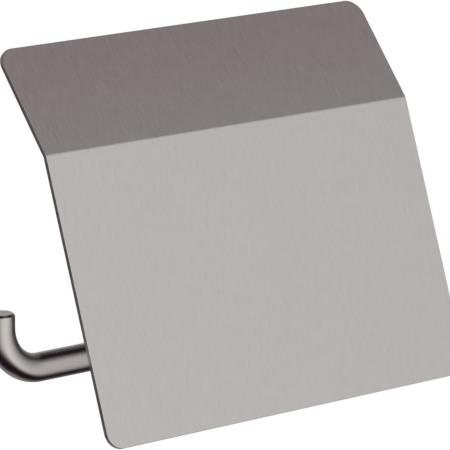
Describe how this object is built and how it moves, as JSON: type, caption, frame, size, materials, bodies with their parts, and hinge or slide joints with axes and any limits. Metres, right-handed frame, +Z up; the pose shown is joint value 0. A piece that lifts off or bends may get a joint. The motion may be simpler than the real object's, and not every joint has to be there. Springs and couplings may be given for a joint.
{
  "type": "toilet paper holder",
  "caption": "Wall-mounted toilet paper holder: a round bar with an upturned end under a folded sheet-metal cover that lifts on a hinge.",
  "frame": {"origin": "on the wall plane, midway between the two wall-screw holes, in the middle of the cover's width", "axes": "+Z up, -Y out of the wall towards the user, +X along the wall towards the fixed end of the bar"},
  "size_m": [0.1643, 0.0759, 0.105],
  "materials": {
    "brushed_cover": "fine lengthwise brushing with a dark chrome coat",
    "satin_bar": "satin, with the same dark chrome coat",
    "cast_carrier": "fine-grained satin paint on a zinc casting",
    "steel_bracket": "bright zinc plating",
    "steel_fasteners": "turned and plated",
    "bearing_plastic": "natural acetal",
    "clear_silicone": "frosted silicone",
    "black_rubber": "matt rubber"
  },
  "bodies": {
    "wall_unit": {"wall_bracket": "steel_bracket", "carrier": "cast_carrier", "wall_pads": "black_rubber", "grub_screws": "steel_fasteners", "hinge_pin": "steel_fasteners", "pin_clips": "steel_fasteners", "thrust_washers": "bearing_plastic", "roll_bar": "satin_bar", "bar_collar": "satin_bar", "collar_o_ring": "black_rubber", "bar_screw": "steel_fasteners", "bar_washer": "steel_fasteners", "bar_key": "steel_fasteners"},
    "cover": {"cover_sheet": "brushed_cover", "hinge_leaf": "steel_bracket", "cover_studs": "steel_fasteners", "stud_washers": "steel_fasteners", "stud_nuts": "steel_fasteners", "bumper_pads": "clear_silicone", "hinge_bushes": "bearing_plastic"}
  },
  "joints": [
    {"name": "cover_hinge", "type": "hinge", "parent": "wall_unit", "child": "cover", "pos_m": [0, -0.025, 0.0124], "axis": [-1, 0, 0], "range_deg": [0, 100]}
  ]
}
